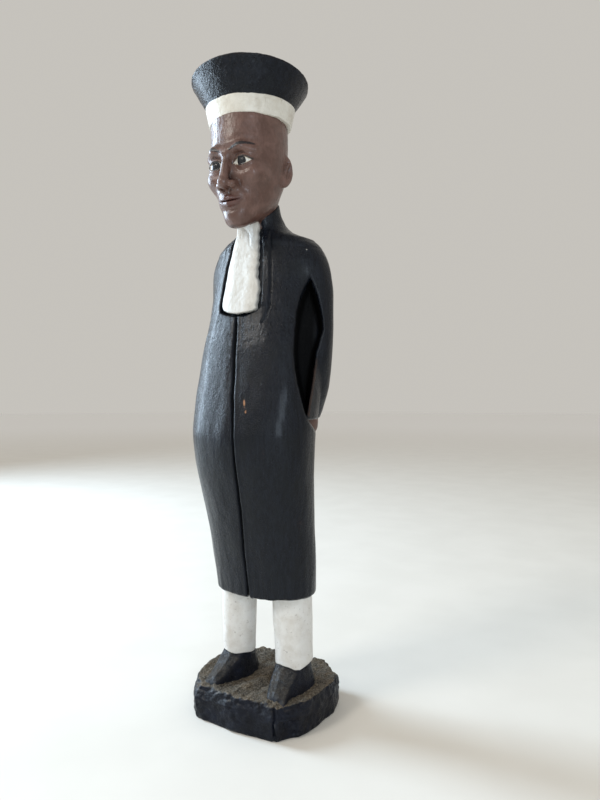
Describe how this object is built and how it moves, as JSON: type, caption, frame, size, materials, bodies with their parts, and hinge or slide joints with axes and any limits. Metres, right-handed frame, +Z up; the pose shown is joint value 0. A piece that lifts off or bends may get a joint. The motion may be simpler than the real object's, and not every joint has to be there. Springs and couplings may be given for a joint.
{
  "type": "carved wooden figurine",
  "caption": "Painted carved wooden figurine of a gowned advocate in a flared cap, hands clasped behind the back, standing on a chamfered plinth.",
  "frame": {"origin": "centre of the plinth's underside, on the surface that the figurine stands on", "axes": "+Z up, the figure faces -Y, its own left hand is towards +X"},
  "size_m": [0.0898, 0.0921, 0.3917],
  "materials": {
    "plinth_paint": "worn semi-gloss black paint on wood, dusty on top",
    "shoe_paint": "worn black paint on wood",
    "trouser_paint": "matt white paint on wood",
    "gown_paint": "semi-gloss black paint on carved wood",
    "skin_paint": "satin reddish-brown paint on carved wood",
    "jabot_paint": "satin white paint on carved wood",
    "band_paint": "satin cream paint on wood",
    "cap_paint": "semi-gloss black paint on wood",
    "bare_wood": "bare wood"
  },
  "bodies": {
    "root": {"plinth": "plinth_paint", "right_shoe": "shoe_paint", "left_shoe": "shoe_paint", "right_trouser_leg": "trouser_paint", "left_trouser_leg": "trouser_paint", "gown": "gown_paint", "right_sleeve": "gown_paint", "left_sleeve": "gown_paint", "right_hand": "skin_paint", "left_hand": "skin_paint", "jabot": "jabot_paint", "head": "skin_paint", "cap_band": "band_paint", "cap_crown": "cap_paint", "right_leg_dowel": "bare_wood", "left_leg_dowel": "bare_wood", "neck_dowel": "bare_wood", "cap_dowel": "bare_wood", "right_arm_peg": "bare_wood", "left_arm_peg": "bare_wood"}
  },
  "joints": []
}
